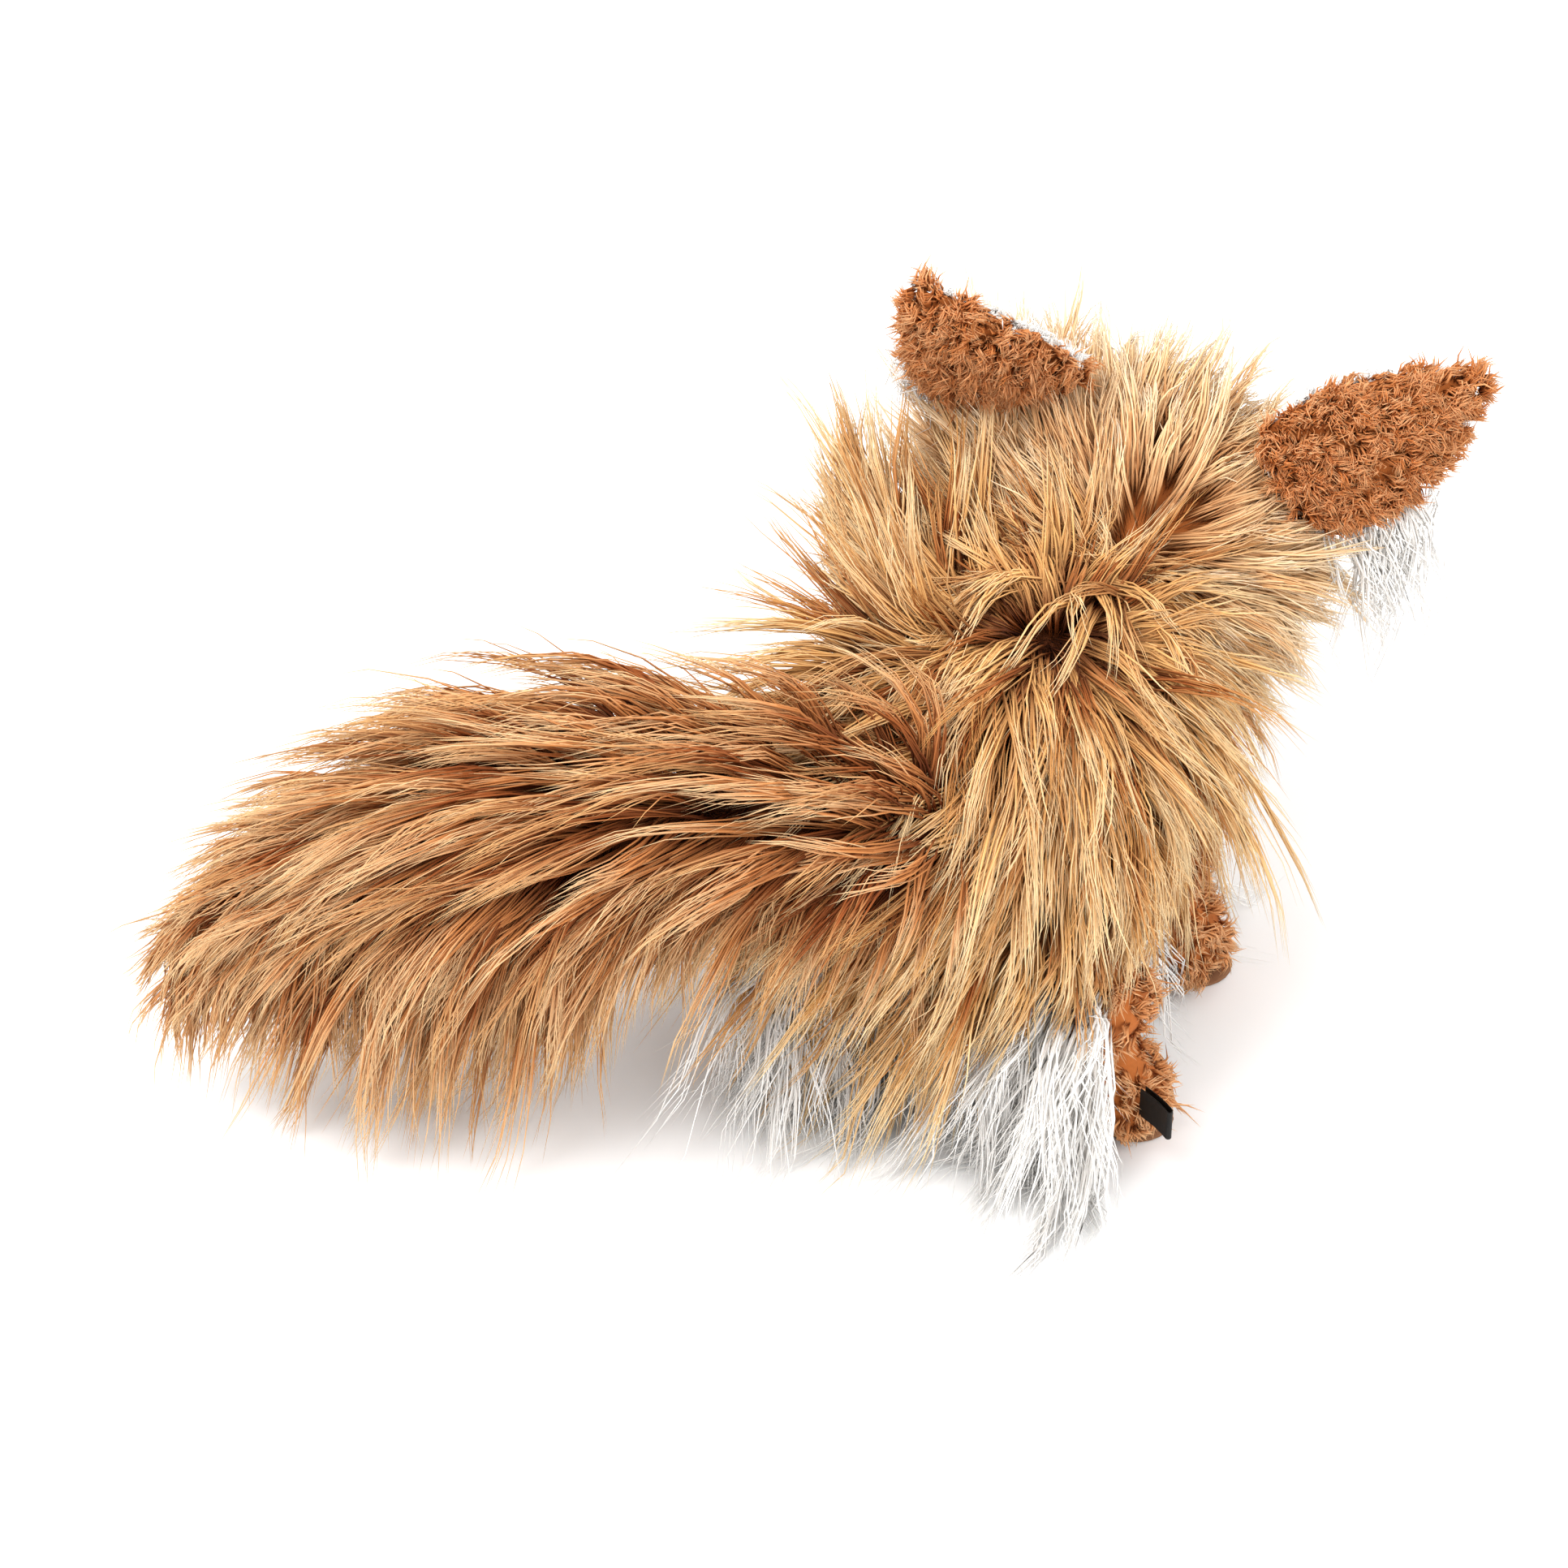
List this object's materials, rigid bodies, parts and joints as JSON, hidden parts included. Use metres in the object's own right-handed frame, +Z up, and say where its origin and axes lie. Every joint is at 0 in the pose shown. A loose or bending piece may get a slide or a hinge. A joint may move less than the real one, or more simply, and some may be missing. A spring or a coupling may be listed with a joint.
{
  "type": "plush dog",
  "caption": "Long-haired plush lap dog with tan and blond fur, white fringes, big ears and a plumed tail, standing.",
  "frame": {"origin": "bottom centre of the box round the dog, on the floor", "axes": "+Z up, +Y the way the dog faces, +X to the dog's right"},
  "size_m": [0.3246, 0.3382, 0.2207],
  "materials": {
    "long_fur_brown": "long pile",
    "long_fur_blond": "long pile",
    "long_fur_white": "long wavy pile",
    "short_fur_brown": "short curly pile",
    "short_fur_pale": "short pile",
    "pad_cloth": "suede cloth",
    "fibre_fill": "loose fibre",
    "black_button": "gloss",
    "washer_plastic": "matte",
    "satin_ribbon": "satin"
  },
  "bodies": {
    "trunk": {"back_cover": "long_fur_brown", "belly_cover": "long_fur_white", "trunk_stuffing": "fibre_fill"},
    "neck": {"neck_ruff": "long_fur_blond"},
    "head": {"head_cover": "long_fur_blond", "face_cover": "short_fur_brown", "head_stuffing": "fibre_fill", "muzzle_cover": "short_fur_pale", "muzzle_stuffing": "fibre_fill", "left_eye": "black_button", "right_eye": "black_button", "nose": "black_button", "left_eye_washer": "washer_plastic", "right_eye_washer": "washer_plastic", "nose_washer": "washer_plastic"},
    "left_ear": {"left_ear_back": "short_fur_brown", "left_ear_lining": "short_fur_pale"},
    "right_ear": {"right_ear_back": "short_fur_brown", "right_ear_lining": "short_fur_pale"},
    "tail_root": {"tail_seat": "long_fur_brown"},
    "tail": {"tail_cover": "long_fur_brown", "tail_stuffing": "fibre_fill"},
    "label": {"side_label": "satin_ribbon"},
    "front_left_leg": {"front_left_leg_cover": "short_fur_brown", "front_left_leg_stuffing": "fibre_fill", "front_left_paw_pad": "pad_cloth"},
    "front_right_leg": {"front_right_leg_cover": "short_fur_brown", "front_right_leg_stuffing": "fibre_fill", "front_right_paw_pad": "pad_cloth"},
    "hind_left_leg": {"hind_left_leg_cover": "short_fur_brown", "hind_left_leg_stuffing": "fibre_fill", "hind_left_paw_pad": "pad_cloth"},
    "hind_right_leg": {"hind_right_leg_cover": "short_fur_brown", "hind_right_leg_stuffing": "fibre_fill", "hind_right_paw_pad": "pad_cloth"}
  },
  "joints": [
    {"name": "head_turn", "type": "hinge", "parent": "trunk", "child": "neck", "pos_m": [0.06251, 0.02544, 0.098], "axis": [0, 0, 1], "range_deg": [-30, 30], "stiffness_Nm_per_rad": 2},
    {"name": "head_nod", "type": "hinge", "parent": "neck", "child": "head", "pos_m": [0.06251, 0.02544, 0.098], "axis": [0.9976, 0.0698, 0], "range_deg": [-15, 18], "stiffness_Nm_per_rad": 4},
    {"name": "left_ear_fold", "type": "hinge", "parent": "head", "child": "left_ear", "pos_m": [0.0298, 0.09333, 0.16685], "axis": [0.8808, 0.0616, 0.4695], "range_deg": [-25, 25], "stiffness_Nm_per_rad": 0.12},
    {"name": "right_ear_fold", "type": "hinge", "parent": "head", "child": "right_ear", "pos_m": [0.11021, 0.09895, 0.1501], "axis": [0.4988, 0.0349, -0.866], "range_deg": [-25, 25], "stiffness_Nm_per_rad": 0.12},
    {"name": "tail_swing", "type": "hinge", "parent": "trunk", "child": "tail_root", "pos_m": [0.05651, -0.06456, 0.116], "axis": [0, 0, 1], "range_deg": [-6, 75], "stiffness_Nm_per_rad": 1.5},
    {"name": "tail_lift", "type": "hinge", "parent": "tail_root", "child": "tail", "pos_m": [0.05651, -0.06456, 0.116], "axis": [-0.3746, 0.9272, 0], "range_deg": [-4, 40], "stiffness_Nm_per_rad": 4},
    {"name": "front_left_leg_swing", "type": "hinge", "parent": "trunk", "child": "front_left_leg", "pos_m": [0.02451, 0.03144, 0.052], "axis": [1, 0, 0], "range_deg": [-20, 20], "stiffness_Nm_per_rad": 2},
    {"name": "front_right_leg_swing", "type": "hinge", "parent": "trunk", "child": "front_right_leg", "pos_m": [0.10051, 0.03144, 0.052], "axis": [1, 0, 0], "range_deg": [-20, 20], "stiffness_Nm_per_rad": 2},
    {"name": "hind_left_leg_swing", "type": "hinge", "parent": "trunk", "child": "hind_left_leg", "pos_m": [0.01651, -0.04256, 0.052], "axis": [1, 0, 0], "range_deg": [-20, 20], "stiffness_Nm_per_rad": 2},
    {"name": "hind_right_leg_swing", "type": "hinge", "parent": "trunk", "child": "hind_right_leg", "pos_m": [0.10851, -0.04256, 0.052], "axis": [1, 0, 0], "range_deg": [-20, 20], "stiffness_Nm_per_rad": 2},
    {"name": "label_flap", "type": "hinge", "parent": "hind_right_leg", "child": "label", "pos_m": [0.12822, -0.05188, 0.024], "axis": [0, 0, 1], "range_deg": [-30, 30], "stiffness_Nm_per_rad": 0.0002}
  ]
}
